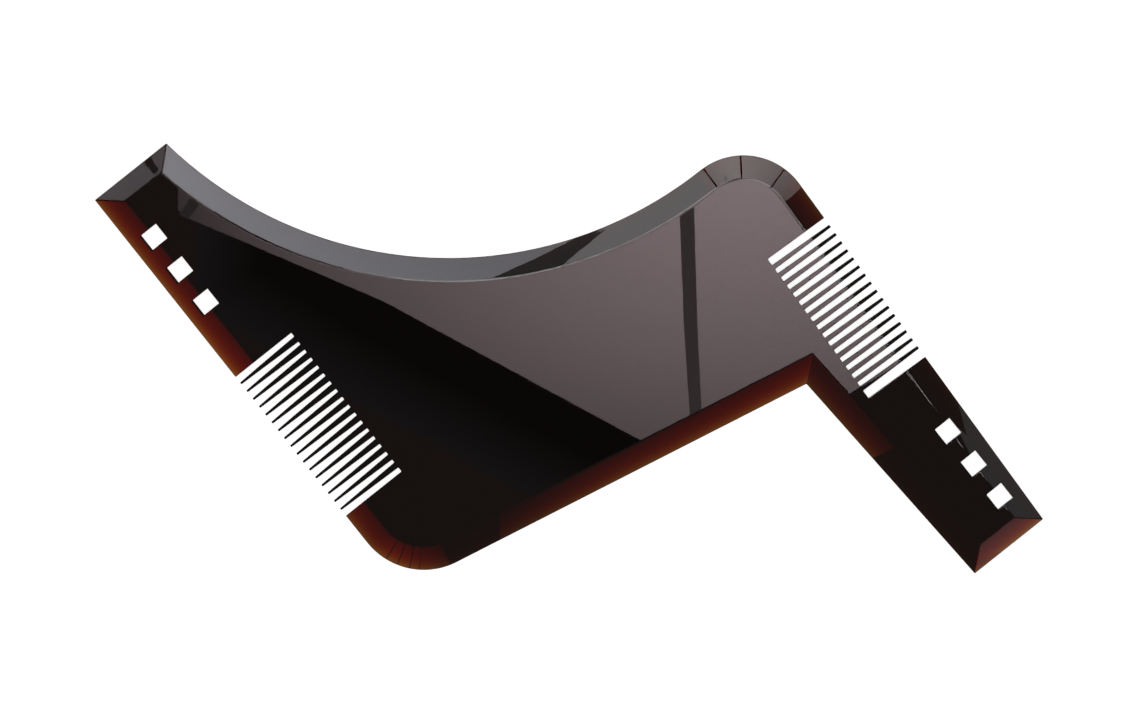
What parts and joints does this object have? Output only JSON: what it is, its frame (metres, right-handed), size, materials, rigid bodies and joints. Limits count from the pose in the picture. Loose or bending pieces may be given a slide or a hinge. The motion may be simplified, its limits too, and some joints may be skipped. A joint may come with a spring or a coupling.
{
  "type": "beard comb",
  "caption": "Flat beard shaping comb with a hollow cheek curve, an angled leg, rows of teeth in both long edges, square hanging holes and a bevelled front.",
  "frame": {"origin": "middle of the outer box in X and Y, on the flat back face", "axes": "+X along the long comb edge from the tip arm to the leg, +Y across the plate to the back edge, +Z out of the bevelled front"},
  "size_m": [0.1682, 0.1124, 0.0032],
  "materials": {
    "amber_plastic": "polished, translucent dark amber; black where it is thick, red-brown at thin edges"
  },
  "bodies": {
    "root": {"tip_arm": "amber_plastic", "cheek_panel": "amber_plastic", "jaw_panel": "amber_plastic", "heel_corner": "amber_plastic", "shoulder_corner": "amber_plastic", "leg_bridge": "amber_plastic", "leg": "amber_plastic", "long_comb_teeth": "amber_plastic", "back_comb_teeth": "amber_plastic"}
  },
  "joints": []
}
